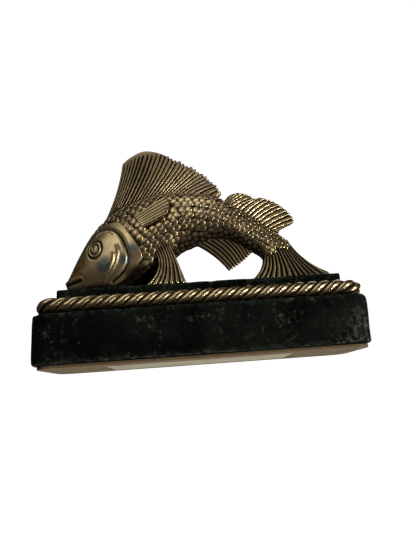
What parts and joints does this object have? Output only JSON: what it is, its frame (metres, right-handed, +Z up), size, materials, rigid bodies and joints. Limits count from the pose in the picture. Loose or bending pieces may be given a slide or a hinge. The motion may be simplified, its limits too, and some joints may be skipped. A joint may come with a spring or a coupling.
{
  "type": "fish figurine on stone base",
  "caption": "Cast brass fish standing on its fins on a stepped stone base with a twisted brass rope border, a felt pad and a paper label underneath.",
  "frame": {"origin": "bottom centre of the felt pad, where the figure stands", "axes": "+X along the base from the fish's head to its tail, +Z up, -Y towards the side that the fish shows"},
  "size_m": [0.13, 0.04, 0.0972],
  "materials": {
    "antique_brass": "cast, dark patina in the recesses and polished high spots",
    "rope_brass": "drawn strands, lightly tarnished",
    "dark_stone": "satin, black-green with pale specks and scratches",
    "plated_steel": "dull zinc plate",
    "brown_felt": "thin pressed felt",
    "cream_paper": "matt, blank"
  },
  "bodies": {
    "root": {"fish_casting": "antique_brass", "pectoral_fin_left": "antique_brass", "pectoral_fin_right": "antique_brass", "upper_plate": "dark_stone", "lower_block": "dark_stone", "rope_strand_1": "rope_brass", "rope_strand_2": "rope_brass", "rope_strand_3": "rope_brass", "head_stud": "plated_steel", "tail_stud": "plated_steel", "head_washer": "plated_steel", "tail_washer": "plated_steel", "head_nut": "plated_steel", "tail_nut": "plated_steel", "base_pad": "brown_felt", "paper_label": "cream_paper"}
  },
  "joints": []
}
